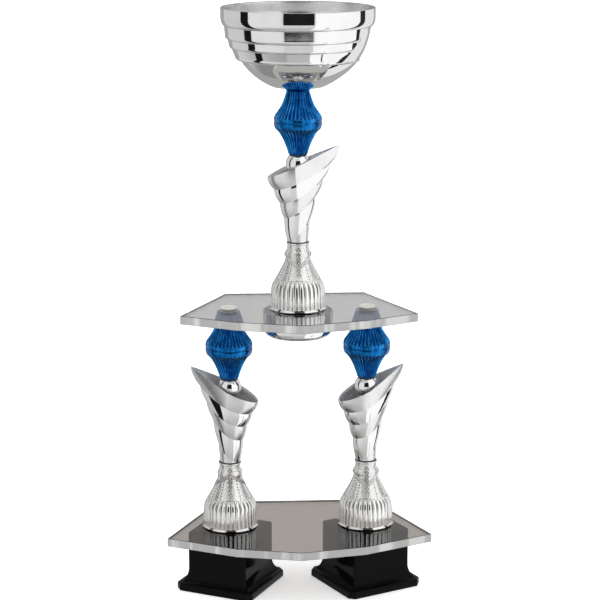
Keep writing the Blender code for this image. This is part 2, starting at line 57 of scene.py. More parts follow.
SIDES = ("left", "right", "upper")

# Bowl
BOWL_WALL = 1.0
BOWL_FLAT = 17.0        # radius of the flat foot

# Bells
BELL_FLUTES = 32
BELL_RING_REACH = 27.0  # where the notches of the foot ring are measured
BELL_TURN = {"left": 90.0, "right": 0.0, "upper": 0.0}

# Torches
TORCH_TURN = {"left": 160.0, "right": 20.0, "upper": 0.0}
TORCH_TIP_REACH = 38.2
TORCH_LOW_REACH = 28.2
TORCH_HALF_WIDTH = 17.1
TORCH_MOUTH_LOW = 0.6776    # lowest point of the mouth, as a share of the height
TORCH_SHOULDER = 0.12   # widest place, towards the low end, as a share of its reach
TORCH_FOOT = 9.2
TORCH_WALL = 1.5
TORCH_FLOOR = 34.0
TORCH_OVERHANG = 0.55   # how far each band stands out over the one below
TIP_THINNING = 2.2      # how much faster the sharp tip draws in than the sides

# Knobs
KNOB_RADIUS = 11.2
KNOB_TOP = 8.2          # radius of the flat that carries the spindle
KNOB_STALK = 6.5

# Plinths
PLINTH_TURN = {"left": -27.0, "right": 27.0}
PLINTH_FOOT = 79.0
PLINTH_BLOCK = 60.0
PLINTH_HOLLOW = 54.0
PLINTH_CORNER = 5.0     # how far the foot's corners are cut off

# Spindles
FLUTES = 36
FLUTE_DEPTH = 1.0
SEAM = 31.0             # height of the parting line


# ------------------------------------------------------------------ numbers

def smoothstep(low, high, x):
    t = min(max((x - low) / (high - low), 0.0), 1.0)
    return t * t * (3.0 - 2.0 * t)


def mixed(a, b, t):
    return a + (b - a) * t


def azimuth_of(point):
    return math.atan2(point.x, -point.y)


def from_nearest(angle, period):
    """How far an angle is from the nearest whole multiple of the period."""
    return angle - period * round(angle / period)


def flowing(points, steps=6):
    """Points on a smooth curve through the given (radius, height) points."""
    knots = [Vector((x, y, 0.0)) for x, y in points]
    line = [points[0]]
    for index in range(len(knots) - 1):
        before = knots[max(index - 1, 0)]
        here, there = knots[index], knots[index + 1]
        after = knots[min(index + 2, len(knots) - 1)]
        lead = here + (there - before) / 6
        tail = there - (after - here) / 6
        curve = interpolate_bezier(here, lead, tail, there, steps + 1)
        line += [(point.x, point.y) for point in curve[1:]]
    return line


def arc(centre, radius, start, end, steps):
    """Points round (radius, height), from one angle in degrees to another."""
    turns = [math.radians(mixed(start, end, step / steps)) for step in range(steps + 1)]
    return [(centre[0] + radius * math.cos(turn), centre[1] + radius * math.sin(turn))
            for turn in turns]


def filled(line, longest):
    """The same line with points added, so that no stretch of it is too long."""
    dense = [line[0]]
    for (x0, y0), (x1, y1) in zip(line, line[1:]):
        count = max(1, math.ceil(math.hypot(x1 - x0, y1 - y0) / longest))
        dense += [(mixed(x0, x1, step / count), mixed(y0, y1, step / count))
                  for step in range(1, count + 1)]
    return dense


def foot_of(node):
    """Middle of a CAD node's foot, in millimetres."""
    low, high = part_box(node)
    return Vector(((low.x + high.x) / 2, (low.y + high.y) / 2, low.z)) / MM


# ------------------------------------------------------------------- shapes

def spun(outline, steps, closed=True):
    """Turn an outline round the Z axis. A closed one makes a solid ring."""
    shape = bmesh.new()
    points = [shape.verts.new((radius, 0.0, height)) for radius, height in outline]
    following = points[1:] + points[:1] if closed else points[1:]
    for here, there in zip(points, following):
        if here.co.x > 0 or there.co.x > 0:
            shape.edges.new((here, there))
    bmesh.ops.spin(shape, geom=shape.verts[:] + shape.edges[:], cent=(0, 0, 0),
                   axis=(0, 0, 1), angle=math.tau, steps=steps, use_merge=True)
    bmesh.ops.remove_doubles(shape, verts=shape.verts, dist=0.001)
    return shape


def wrapped(columns, rings, looks=None):
    """A sheet wrapped into a closed skin. Each ring gives the point at an angle.

    looks gives the number of the finish on each row of faces.
    """
    shape = bmesh.new()
    rows = len(rings) - 1
    bmesh.ops.create_grid(shape, x_segments=columns, y_segments=rows, size=1.0)
    for face in shape.faces:
        row = int((face.calc_center_median().y + 1.0) / 2 * rows)
        face.material_index = looks[row] if looks else 0
    for corner in shape.verts:
        angle = (corner.co.x + 1.0) / 2 * math.tau
        row = round((corner.co.y + 1.0) / 2 * rows)
        corner.co = rings[row](angle)
    bmesh.ops.remove_doubles(shape, verts=shape.verts, dist=0.001)
    return shape


def finished(name, shape, finishes, node, place, turn=0.0, crease=35.0):
    """Turn a shape in millimetres into a piece that stands for a CAD node."""
    bmesh.ops.remove_doubles(shape, verts=shape.verts, dist=0.001)
    bmesh.ops.recalc_face_normals(shape, faces=shape.faces)
    bmesh.ops.rotate(shape, verts=shape.verts, cent=(0, 0, 0),
                     matrix=Matrix.Rotation(math.radians(turn), 3, "Z"))
    bmesh.ops.translate(shape, verts=shape.verts, vec=place)
    bmesh.ops.scale(shape, verts=shape.verts, vec=(MM, MM, MM))
    mesh = bpy.data.meshes.new(name)
    shape.to_mesh(mesh)
    shape.free()
    mesh.shade_smooth()
    mesh.set_sharp_from_angle(angle=math.radians(crease))
    for finish in finishes if isinstance(finishes, tuple) else (finishes,):
        mesh.materials.append(finish)
    piece = bpy.data.objects.new(name, mesh)
    bpy.context.scene.collection.objects.link(piece)
    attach(piece, "root")
    if node:
        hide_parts(node)
    return piece


# ---------------------------------------------------------------- materials

class Value:
    """A number that varies over a surface. Arithmetic on it adds Math nodes."""

    def __init__(self, finish, socket):
        self.finish = finish
        self.socket = socket

    def maths(self, operation, *values):
        inputs = dict(enumerate(values))
        return self.finish.node("ShaderNodeMath", {"operation": operation}, inputs)

    def __add__(self, other):
        return self.maths("ADD", self, other)

    __radd__ = __add__

    def __mul__(self, other):
        return self.maths("MULTIPLY", self, other)

    __rmul__ = __mul__

    def __sub__(self, other):
        return self.maths("SUBTRACT", self, other)

    def __rsub__(self, other):
        return self.maths("SUBTRACT", other, self)

    def absolute(self):
        return self.maths("ABSOLUTE", self)

    def sine(self):
        return self.maths("SINE", self)

    def between(self, low, high):
        """0 below low, 1 above high and smooth in between."""
        settings = {"interpolation_type": "SMOOTHSTEP"}
        inputs = {"Value": self, "From Min": low, "From Max": high}
        return self.finish.node("ShaderNodeMapRange", settings, inputs)


class Finish:
    """A material with one Principled BSDF, whose sockets take numbers or values."""

    def __init__(self, name, **constants):
        self.material = bpy.data.materials.new(name)
        self.material.use_nodes = True
        self.tree = self.material.node_tree
        self.shader = self.tree.nodes["Principled BSDF"]
        for words, constant in constants.items():
            self.set(words.replace("_", " ").title().replace("Ior", "IOR"), constant)

    def set(self, socket, value):
        self.join(self.shader.inputs[socket], value)

    def join(self, socket, value):
        if isinstance(value, Value):
            self.tree.links.new(value.socket, socket)
        elif isinstance(value, (tuple, list)) and len(value) == 3 and socket.type == "RGBA":
            socket.default_value = (*value, 1.0)
        else:
            socket.default_value = value

    def node(self, kind, settings=None, inputs=None, output=0):
        """Add a node, set it up, join its sockets and give one of its outputs."""
        made = self.tree.nodes.new(kind)
        for name, setting in (settings or {}).items():
            if name == "stops":
                self.ramp_stops(made.color_ramp, setting)
            else:
                setattr(made, name, setting)
        for name, value in (inputs or {}).items():
            if isinstance(name, int):
                socket = made.inputs[name]
            else:
                socket = next(each for each in made.inputs
                              if name in (each.identifier, each.name))
            self.join(socket, value)
        return Value(self, made.outputs[output])

    def ramp_stops(self, ramp, stops):
        while len(ramp.elements) > 1:
            ramp.elements.remove(ramp.elements[-1])
        ramp.elements[0].position = stops[0][0]
        ramp.elements[0].color = (*stops[0][1], 1.0)
        for place, colour in stops[1:]:
            ramp.elements.new(place).color = (*colour, 1.0)

    def place(self, centre=(0.0, 0.0, 0.0), stretch=(1.0, 1.0, 1.0)):
        """Position on the object in millimetres from a centre, stretched by axis."""
        where = self.node("ShaderNodeTexCoord", output=3)
        size = [each / MM for each in stretch]
        offset = [-each * factor for each, factor in zip(centre, stretch)]
        return self.node("ShaderNodeMapping", {"vector_type": "POINT"},
                         {"Vector": where, "Location": offset, "Scale": size})

    def noise(self, place, scale, detail=3.0, roughness=0.5):
        return self.node("ShaderNodeTexNoise", {},
                         {"Vector": place, "Scale": scale, "Detail": detail,
                          "Roughness": roughness})

    def colours(self, amount, stops):
        return self.node("ShaderNodeValToRGB", {"stops": stops}, {0: amount})

    def blend(self, amount, first, second, mode="MIX"):
        return self.node("ShaderNodeMix", {"data_type": "RGBA", "blend_type": mode},
                         {"Factor_Float": amount, "A_Color": first, "B_Color": second},
                         output=2)

    def bump(self, height, depth):
        """Raise the surface by a height of 0 to 1 times a depth in millimetres."""
        bent = self.node("ShaderNodeBump", {},
                         {"Strength": 1.0, "Distance": depth * MM, "Height": height})
        self.set("Normal", bent)

    def parts(self, vector):
        split = self.tree.nodes.new("ShaderNodeSeparateXYZ")
        self.tree.links.new(vector.socket, split.inputs[0])
        return [Value(self, each) for each in split.outputs]


def chrome(name, tone=0.93, dull=0.035, ripple=0.012):
    """Bright plated metal, with faint smears and the slow ripple of thin sheet."""
    finish = Finish(name, metallic=1.0)
    place = finish.place()
    smears = finish.noise(place, 0.055, detail=4.0)
    specks = finish.noise(place, 0.9, detail=2.0)
    cloud = smears.between(0.42, 0.72)
    finish.set("Base Color", finish.blend(cloud, (tone, tone, tone * 1.003),
                                          (tone * 0.95, tone * 0.95, tone * 0.94)))
    finish.set("Roughness", dull + cloud * 0.035 + specks.between(0.62, 0.75) * 0.03)
    finish.bump(finish.noise(place, 0.05, detail=1.0) + specks * 0.02, ripple)
    return finish.material


def hammered_chrome(name, foot):
    """Plated casting: stippled cone and neck, beaded seams, and painted shade in the hollows and
    in the dents of the stipple.
    """
    finish = Finish(name, metallic=1.0)
    place = finish.place(foot)
    height = finish.parts(place)[2]
    hollow = finish.node("ShaderNodeAttribute", {"attribute_name": "hollow"}, output=2)
    dents = finish.node("ShaderNodeTexVoronoi", {"feature": "SMOOTH_F1"},
                        {"Vector": place, "Scale": 0.95, "Smoothness": 0.25,
                         "Randomness": 0.75})
    grain = finish.noise(place, 2.6, detail=2.0)
    stippled = height.between(26.5, 29.5) * (1.0 - height.between(55.0, 62.0) * 0.3)
    stain = finish.noise(place, 0.25, detail=3.0).between(0.45, 0.75)
    light = finish.blend(stain, (0.99, 0.985, 0.975), (0.93, 0.925, 0.91))
    # Painted shade: the hollow layer darkens the plating in the casting's recesses.
    dark = finish.blend(hollow, light, (0.16, 0.145, 0.13))
    # Painted shade in the dents of the stipple, greying the plating where it dips.
    pit_shade = dents.between(0.34, 0.60) * stippled
    finish.set("Base Color", finish.blend(pit_shade * 0.32, dark, (0.45, 0.43, 0.41)))
    finish.set("Roughness", 0.15 + stippled * 0.10 + hollow * 0.22 + stain * 0.05)
    finish.bump(stippled * (1.0 - dents) + grain * 0.06, 0.11)
    return finish.material


def streaked_blue(name, foot):
    """Blue metallic lacquer wiped on in upright streaks over a bright base, with painted
    highlights on the flute ridges and painted shade in the flutes.
    """
    finish = Finish(name, metallic=1.0, coat_weight=0.08, coat_roughness=0.15)
    streaks = finish.noise(finish.place(foot, (1.0, 1.0, 0.09)), 0.36, detail=4.0,
                           roughness=0.55)
    clouds = finish.noise(finish.place(foot), 0.13, detail=3.0)
    fine = finish.noise(finish.place(foot, (1.0, 1.0, 0.10)), 1.3, detail=2.0)
    ridge = finish.node("ShaderNodeAttribute", {"attribute_name": "ridge"}, output=2)
    # The ridge layer paints highlights on the flute ridges and shade in the flutes.
    amount = streaks * 0.45 + clouds * 0.45 + (fine - 0.5) * 0.04 + ridge * 0.17 + 0.055
    finish.set("Base Color", finish.colours(amount, [
        (0.26, (0.000, 0.026, 0.160)),
        (0.42, (0.001, 0.090, 0.345)),
        (0.54, (0.005, 0.180, 0.540)),
        (0.64, (0.030, 0.300, 0.720)),
        (0.80, (0.140, 0.470, 0.880)),
    ]))
    finish.set("Roughness", 0.22 + streaks.between(0.4, 0.7) * 0.10)
    finish.bump(streaks * 0.7 + fine * 0.3, 0.03)
    return finish.material


def clear_acrylic(name, painted_shade_tint):
    """Clear sheet made by casting. Its tint keeps a faint colour but is darkened to grey, as
    painted shade for the dark studio that the sheet mirrors. Its sawn edges are pale and satin,
    painted lighter where they face left, with pale streaks painted on as reflections.
    """
    finish = Finish(name, transmission_weight=1.0, ior=1.49)
    place = finish.place()
    facing = finish.parts(finish.node("ShaderNodeNewGeometry", output=1))
    edge = 1.0 - facing[2].absolute().between(0.35, 0.75)
    haze = finish.noise(place, 0.02, detail=3.0)
    # The tint is painted shade: much darker than clear acrylic, standing in for the dark studio
    # mirrored in the sheet.
    finish.set("Base Color", finish.blend(haze, painted_shade_tint, tuple(each * 0.93 for each in painted_shade_tint)))
    finish.set("Roughness", 0.004 + haze * 0.004)
    saw = finish.noise(finish.place(stretch=(0.12, 0.12, 1.0)), 2.4, detail=3.0)
    # Painted light: edges that face left are lighter.
    left = (0.0 - facing[0]).between(0.55, 0.95)
    # Pale streaks along the edges are painted reflections.
    broad = finish.noise(finish.place(stretch=(1.0, 1.0, 0.05)), 0.07, detail=2.0)
    plain = finish.blend(left, (0.40, 0.40, 0.40), (0.74, 0.74, 0.73))
    pale = finish.blend(broad.between(0.48, 0.62) * 0.45, plain, (0.90, 0.90, 0.89))
    sawn = finish.blend(saw, pale, (0.82, 0.82, 0.81), mode="MULTIPLY")
    satin = finish.node("ShaderNodeBsdfPrincipled", {},
                        {"Base Color": sawn, "Roughness": 0.30 + saw * 0.15})
    sheet = Value(finish, finish.shader.outputs[0])
    both = finish.node("ShaderNodeMixShader", {}, {0: edge * 0.88, 1: sheet, 2: satin})
    finish.join(finish.tree.nodes["Material Output"].inputs["Surface"], both)
    return finish.material


def black_moulding(name):
    """Glossy black plastic with the slight waviness and dust of a moulding."""
    finish = Finish(name, ior=1.5, specular_ior_level=0.06)
    place = finish.place()
    waves = finish.noise(place, 0.12, detail=2.0)
    dust = finish.noise(place, 1.3, detail=3.0).between(0.66, 0.80)
    finish.set("Base Color", finish.blend(dust, (0.0030, 0.0030, 0.0032),
                                          (0.010, 0.010, 0.010)))
    finish.set("Roughness", 0.08 + dust * 0.15 + waves * 0.04)
    finish.bump(waves, 0.02)
    return finish.material


def cream_plastic(name):
    """Cream moulded plastic with a soft grain."""
    finish = Finish(name, subsurface_weight=0.1, ior=1.48)
    place = finish.place()
    grain = finish.noise(place, 1.6, detail=4.0)
    marks = finish.noise(place, 0.3, detail=2.0).between(0.5, 0.75)
    finish.set("Base Color", finish.blend(marks, (0.72, 0.69, 0.62), (0.66, 0.62, 0.54)))
    finish.set("Roughness", 0.38 + grain * 0.18)
    finish.bump(grain, 0.05)
    return finish.material


def zinc_hardware(name, foot):
    """Zinc-plated steel. A thread runs round whatever is thin enough to be a rod, with painted
    shade in its grooves.
    """
    finish = Finish(name, metallic=1.0)
    place = finish.place(foot)
    x, y, height = finish.parts(place)
    azimuth = finish.node("ShaderNodeMath", {"operation": "ARCTAN2"}, {0: y, 1: x})
    squared = x * x + y * y
    reach = squared.maths("SQRT", squared)
    rod = 1.0 - reach.between(3.1, 3.3)
    thread = (height * math.tau + azimuth).sine() * 0.5 + 0.5
    spangle = finish.node("ShaderNodeTexVoronoi", {"feature": "F1"},
                          {"Vector": place, "Scale": 0.6}, output=1)
    grey = finish.node("ShaderNodeRGBToBW", {}, {0: spangle})
    shade = finish.blend(grey, (0.50, 0.51, 0.53), (0.64, 0.65, 0.66))
    # Painted shade in the thread's grooves.
    finish.set("Base Color", finish.blend(rod * (1.0 - thread) * 0.7, shade,
                                          (0.16, 0.15, 0.14)))
    finish.set("Roughness", 0.28 + grey * 0.15)
    finish.bump(thread * rod + finish.noise(place, 1.5) * 0.1, 0.45)
    return finish.material


def cast_iron(name):
    """Rough grey casting."""
    finish = Finish(name, metallic=0.6)
    place = finish.place()
    grain = finish.noise(place, 0.7, detail=6.0, roughness=0.65)
    rust = finish.noise(place, 0.08, detail=4.0).between(0.55, 0.8)
    finish.set("Base Color", finish.blend(rust, (0.13, 0.13, 0.135), (0.16, 0.10, 0.07)))
    finish.set("Roughness", 0.6 + grain * 0.3)
    finish.bump(grain, 0.5)
    return finish.material


def dark_rubber(name):
    """Blue-black rubber of the rings between the pieces; the ring under each spindle is a
    painted shadow.
    """
    finish = Finish(name)
    grain = finish.noise(finish.place(), 2.0, detail=3.0)
    finish.set("Base Color", finish.blend(grain, (0.012, 0.014, 0.022),
                                          (0.030, 0.034, 0.050)))
    finish.set("Roughness", 0.35 + grain * 0.2)
    finish.bump(grain, 0.03)
    return finish.material


# --------------------------------------------------------------------- bowl

def ball_radius(radius, centre, height):
    return math.sqrt(max(radius ** 2 - (centre - height) ** 2, 0.0))


def bowl(finishes):
    """Thin sheet bowl: flat foot, round belly and four bands with curled edges.

    On the right the three lower bands fade into a plain crescent.
    """
    low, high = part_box("bowl")
    rim = (high.x - low.x) / 2 / MM
    tall = (high.z - low.z) / MM
    belly, belly_centre = 0.886 * rim, 0.8025 * tall
    plain, plain_centre = 0.943 * rim, 0.849 * tall
    outline = [(BORE, 0.0), (BOWL_FLAT - 1.0, 0.0), (BOWL_FLAT, 0.15)]
    for step in range(28):
        angle = math.radians(mixed(22.0, 58.0, step / 27))
        outline.append((belly * math.sin(angle), belly_centre - belly * math.cos(angle)))
    # tuck radius, upright radius, tuck height, height of the curl
    bands = ((0.770, 0.815, 0.338, 0.040), (0.855, 0.892, 0.486, 0.038),
             (0.902, 0.943, 0.599, 0.050), (0.947, 1.000, 0.767, 0.110))
    for tuck, upright, height, curl in bands:
        for step in range(9):
            turn = math.radians(mixed(8.0, 90.0, step / 8))
            reach = mixed(tuck, upright, math.sin(turn))
            rise = height + curl * (1 - math.cos(turn))
            outline.append((reach * rim, rise * tall))
    outline += [(rim, 0.93 * tall), (rim, tall - 0.25), (rim - 0.3, tall)]
    shape = spun(filled(outline, 1.6), 216, closed=False)
    top_of_fade = 0.73 * tall
    for point in shape.verts:
        height = point.co.z
        if not 0.05 * tall < height < 0.80 * tall:
            continue
        azimuth = math.degrees(azimuth_of(point.co))
        edge = mixed(22.0, 53.0, smoothstep(0.38, 0.56, height / tall))
        off_side = abs(azimuth - 90.0)
        fade = 1.0 - smoothstep(85.0 - edge, 90.0 - edge, off_side)
        fade *= 1.0 - smoothstep(top_of_fade, top_of_fade + 0.035 * tall, height)
        fade *= smoothstep(0.05 * tall, 0.32 * tall, height)
        reach = math.hypot(point.co.x, point.co.y)
        smooth = ball_radius(plain, plain_centre, height)
        stretch = mixed(1.0, smooth / reach, fade)
        point.co.x *= stretch
        point.co.y *= stretch
    bmesh.ops.recalc_face_normals(shape, faces=shape.faces)
    made = finished("bowl_sheet", shape, finishes, "bowl", foot_of("bowl"),
                    crease=28.0)
    wall = made.modifiers.new("wall", "SOLIDIFY")
    wall.thickness = BOWL_WALL * MM
    wall.offset = -1.0
    wall.use_even_offset = False
    wall.material_offset = 1
    return made


def bowl_nut(finish):
    """Hexagon nut with chamfered crowns, wrapped round its bore."""
    low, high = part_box("bowl_nut")
    flat = (high.y - low.y) / 2 / MM
    tall = (high.z - low.z) / MM
    corner = flat / math.cos(math.tau / 12)

    def hexagon(limit, height):
        def point(angle):
            off_flat = from_nearest(angle - math.tau / 12, math.tau / 6)
            reach = min(flat / math.cos(off_flat), limit)
            return Vector((reach * math.cos(angle), reach * math.sin(angle), height))

        return point

    levels = ((BORE, 0.0), (flat, 0.0), (corner, 0.45), (corner, tall - 0.45), (flat, tall),
              (BORE, tall), (BORE, 0.0))
    shape = wrapped(48, [hexagon(*level) for level in levels])
    return finished("bowl_hexagon_nut", shape, finish, "bowl_nut",
                    foot_of("bowl_nut"), crease=20.0)


# ------------------------------------------------------------------ spindle

def fluted(shape, starts, leans):
    """Press flutes into a turned skin. Each ends in a round scoop at the belly. A layer holds
    painted light: highlights on the ridges and beads, shade in the flutes.

    starts gives the height where the flutes of this half begin, and leans is
    1 when they run up from there and -1 when they run down.
    """
    light = shape.verts.layers.float.new("ridge")
    for point in shape.verts:
        reach = math.hypot(point.co.x, point.co.y)
        if reach < BORE + 3.0:
            continue
        hollow = abs(math.sin(FLUTES / 2 * azimuth_of(point.co)))
        away = leans * (point.co.z - starts) - 1.7 * (1.0 - hollow ** 0.8)
        depth = FLUTE_DEPTH * min(1.0, reach / 15.0) * hollow ** 0.85
        press = depth * smoothstep(0.0, 0.9, away)
        bead = 0.32 * (1.0 - hollow) * smoothstep(-0.6, 0.4, away + 1.0)
        bead *= 1.0 - smoothstep(0.8, 2.2, away)
        shade = smoothstep(0.0, 0.9, away)
        # Painted light: bright on the ridges and beads, painted shade in the flutes.
        point[light] = shade * (0.75 - 1.75 * hollow) + (1.0 - shade) * 0.05 + 2.4 * bead
        factor = (reach - press + bead) / reach
        point.co.x *= factor
        point.co.y *= factor


def spindle(side, blue, rubber):
    """Two fluted shells that meet at the belly, and a dark ring under the foot as a painted
    shadow.
    """
    lower, upper = f"{side}_spindle_lower_half", f"{side}_spindle_upper_half"
    low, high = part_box(lower)
    belly = (high.x - low.x) / 2 / MM
    tall = (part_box(upper)[1].z - low.z) / MM
    foot = foot_of(lower)
    gap = 0.15
    skin = [(7.6, 1.2), (8.4, 1.2), (8.7, 1.5)]
    skin += flowing([(8.9, 1.5), (9.9, 5.3), (12.0, 10.9), (13.7, 14.7), (16.1, 19.2),
                     (18.6, 22.7), (20.6, 24.8), (belly - 0.4, 26.6)], 7)[1:]
    skin += [(belly - 0.05, 28.0), (belly, 28.9), (belly, SEAM - 0.9),
             (belly - 0.35, SEAM - gap)]
    inside = [(belly - 2.0, SEAM - gap), (belly - 3.0, 25.8), (8.0, 11.5), (7.2, 5.8),
              (BORE, 5.8), (BORE, 1.2)]
    shape = spun(filled(skin, 0.8) + inside, FLUTES * 8)
    fluted(shape, 26.0, -1)
    finished(f"{side}_spindle_foot", shape, blue, lower, foot)
    skin = [(belly - 0.35, SEAM + gap), (belly, SEAM + 0.9), (belly, 33.6),
            (belly - 0.15, 34.5)]
    skin += flowing([(belly - 0.6, 35.4), (20.6, 37.4), (18.8, 40.1), (16.9, 43.0),
                     (15.0, 46.2), (13.3, 50.2), (12.0, 54.2), (10.9, 57.6),
                     (10.5, tall)], 7)
    inside = [(5.6, tall), (5.6, tall - 10.0), (10.0, tall - 14.0), (14.0, 42.2),
              (belly - 2.0, 34.6), (belly - 2.0, SEAM + gap)]
    shape = spun(filled(skin, 0.8) + inside, FLUTES * 8)
    fluted(shape, 34.6, 1)
    finished(f"{side}_spindle_neck", shape, blue, upper, foot)
    # The dark ring is a painted shadow under the spindle's foot.
    ring = [(BORE, 0.05), (7.7, 0.05), (8.0, 0.35), (8.0, 1.0), (7.7, 1.15), (BORE, 1.15)]
    finished(f"{side}_spindle_painted_shadow_ring", spun(ring, 96), rubber, None, foot)


def bowl_seat(finish):
    """Fluted flare under the bowl."""
    foot = foot_of("bowl_seat")
    foot.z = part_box("upper_spindle_upper_half")[1].z / MM + 0.3
    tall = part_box("bowl_seat")[1].z / MM - foot.z
    low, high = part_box("bowl_seat")
    wide = (high.x - low.x) / 2 / MM
    skin = [(10.5, 0.0)] + flowing([(10.6, 0.1), (11.4, 0.8), (12.8, 1.9), (wide - 0.3, 3.0)],
                                   5) + [(wide, tall - 0.15), (wide - 0.2, tall)]
    outline = filled(skin, 0.4) + [(BORE, tall), (BORE, -6.0), (4.8, -6.0), (4.8, 0.0)]
    shape = spun(outline, FLUTES * 8)
    light = shape.verts.layers.float.new("ridge")
    for point in shape.verts:
        reach = math.hypot(point.co.x, point.co.y)
        if reach < 9.0:
            continue
        hollow = abs(math.sin(FLUTES / 2 * azimuth_of(point.co)))
        # Painted light: bright on the ridges, painted shade in the flutes.
        point[light] = 0.8 - 1.6 * hollow
        factor = (reach - 1.1 * hollow ** 0.85) / reach
        point.co.x *= factor
        point.co.y *= factor
    return finished("bowl_seat_flare", shape, finish, "bowl_seat", foot)


# --------------------------------------------------------------------- bell

def garland_height(azimuth):
    """The garland dips to a point at front and back and rises to its knots."""
    away = abs(from_nearest(azimuth, math.pi)) / (math.pi / 2)
    return mixed(40.6, 51.5, away ** 0.85)


def bell_relief(azimuth, reach, height):
    """How far the casting stands out here, and how much painted shade its hollow gets."""
    out, hollow = 0.0, 0.0
    off_quarter = abs(from_nearest(azimuth, math.pi / 2))
    quarter = off_quarter * BELL_RING_REACH
    eighth = abs(off_quarter - math.pi / 4) * BELL_RING_REACH
    if height < 2.6:
        notch = max(1.0 - smoothstep(4.3, 5.0, quarter), 1.0 - smoothstep(1.1, 1.8, eighth))
        # Painted shade in the notches of the foot ring.
        return -1.75 * notch * smoothstep(24.9, 25.6, reach), 0.85 * notch
    reed = abs(math.sin(BELL_FLUTES / 2 * azimuth))
    arch = 25.6 + 4.0 * reed ** 0.75
    field = smoothstep(0.0, 0.9, arch - height) * smoothstep(2.3, 2.9, height)
    top = smoothstep(12.0, 24.0, height)
    gap = field * (1.0 - reed) ** 2.2
    out -= mixed(0.7, 1.7, top) * gap
    # Painted shade between the reeds, deeper towards the top.
    hollow = max(hollow, mixed(0.20, 0.95, top) * field * (1.0 - reed) ** 2.2)
    head = 1.0 - smoothstep(0.1, 0.7, abs(height - arch + 0.3))
    out -= 0.35 * head
    # Painted shade in the groove round each reed's head.
    hollow = max(hollow, 0.45 * head)
    across = from_nearest(azimuth, math.pi / 2) * reach
    if 32.0 < height < 58.5:
        strip = 1.0 - smoothstep(1.9, 2.2, abs(across))
        strip *= smoothstep(32.0, 34.0, height)
        rising = abs(math.sin(math.pi * (across / 2.6 + height / 3.6)))
        falling = abs(math.sin(math.pi * (across / 2.6 - height / 3.6)))
        cut = 1.0 - smoothstep(0.12, 0.50, min(rising, falling))
        out += strip * (0.25 - 0.60 * cut)
        # Painted shade in the lattice cuts.
        hollow = max(hollow, strip * cut)
    seam = abs(from_nearest(azimuth, math.pi / 6)) * reach
    if 30.5 < height < 47.0 and abs(across) > 4.0 and math.sin(height * 2.5) > 0:
        pit = 1.0 - smoothstep(0.3, 0.8, seam)
        out -= 0.25 * pit
        # Painted shade in the pits along the seams.
        hollow = max(hollow, 0.9 * pit)
    slope = 0.80
    off = (height - garland_height(azimuth)) * slope
    if abs(off) < 1.6:
        rope = max(0.0, 1.0 - ((abs(off) - 0.55) / 0.45) ** 2)
        groove = 1.0 - smoothstep(0.0, 0.25, abs(off))
        edge = 1.0 - smoothstep(0.0, 0.35, abs(abs(off) - 1.2))
        out = mixed(out, 0.65 * rope - 0.10 * groove - 0.25 * edge,
                    1.0 - smoothstep(1.2, 1.6, abs(off)))
        # Painted shade in the garland's groove and along its edges; the rope itself is left
        # light.
        hollow = max(hollow * (1.0 - rope), 0.90 * edge, 0.75 * groove)
    knot_side = abs(abs(from_nearest(azimuth, math.pi)) - math.pi / 2) * reach
    knot = math.hypot(knot_side, height - 51.9)
    out += 0.6 * max(0.0, 1.0 - (knot / 2.2) ** 2)
    return out, hollow


def bell(side, finish, rubber):
    """Cast bell: notched foot ring, arched flutes, stippled cone, garland and neck."""
    node = f"{side}_bell"
    low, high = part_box(node)
    ring = (high.x - low.x) / 2 / MM
    tall = (high.z - low.z) / MM
    skirt = ring - 1.9
    skin = arc((ring - 0.9, 1.1), 0.9, -80.0, 80.0, 8) + [(skirt + 0.1, 2.3)]
    skin += flowing([(skirt + 0.9, 2.7), (skirt + 0.6, 10.0), (skirt + 0.1, 17.5),
                     (skirt - 0.5, 21.4), (skirt - 1.7, 24.6), (skirt - 3.4, 27.2),
                     (20.0, 30.0), (17.6, 34.0), (15.2, 38.4), (13.2, 42.5), (11.6, 46.4),
                     (11.3, 48.4), (11.6, 50.6), (11.5, 53.1), (10.8, 54.9), (9.9, 56.0),
                     (9.8, 58.0), (9.9, 60.5)], 8)
    skin += [(10.5, 60.8), (10.7, 61.2), (10.7, 62.0), (10.5, tall - 0.1), (10.2, tall),
             (9.75, tall - 0.1), (9.6, tall - 0.5), (9.6, tall - 1.7), (BORE, tall - 1.7)]
    inside = [(BORE, tall - 6.5), (7.6, tall - 6.5), (9.0, 44.0), (13.0, 37.0), (20.5, 22.0),
              (22.0, 17.0), (22.4, 0.2)]
    shape = spun(filled(skin, 0.42) + inside, 320)
    # The hollow layer carries painted shade for the casting's recesses, and its finish reads it.
    painted_shade_layer = shape.verts.layers.float.new("hollow")
    turn = math.radians(BELL_TURN[side])
    for point in shape.verts:
        reach = math.hypot(point.co.x, point.co.y)
        height = point.co.z
        if reach < 9.7 or height > 59.9:
            continue
        if any(abs(reach - radius) < 0.02 and abs(height - level) < 0.02
               for radius, level in inside):
            continue
        out, dark = bell_relief(azimuth_of(point.co) + turn, reach, height)
        point[painted_shade_layer] = dark
        factor = min(reach + out, ring) / reach
        point.co.x *= factor
        point.co.y *= factor
    finished(f"{side}_cast_bell", shape, finish, node, foot_of(node),
             crease=50.0)
    gasket = [(9.25, tall - 0.3), (10.1, tall + 0.05), (10.2, tall + 0.5),
              (9.9, tall + 0.9), (9.3, tall + 0.95)]
    finished(f"{side}_torch_gasket", spun(gasket, 96), rubber, None,
             foot_of(node))


# -------------------------------------------------------------------- torch

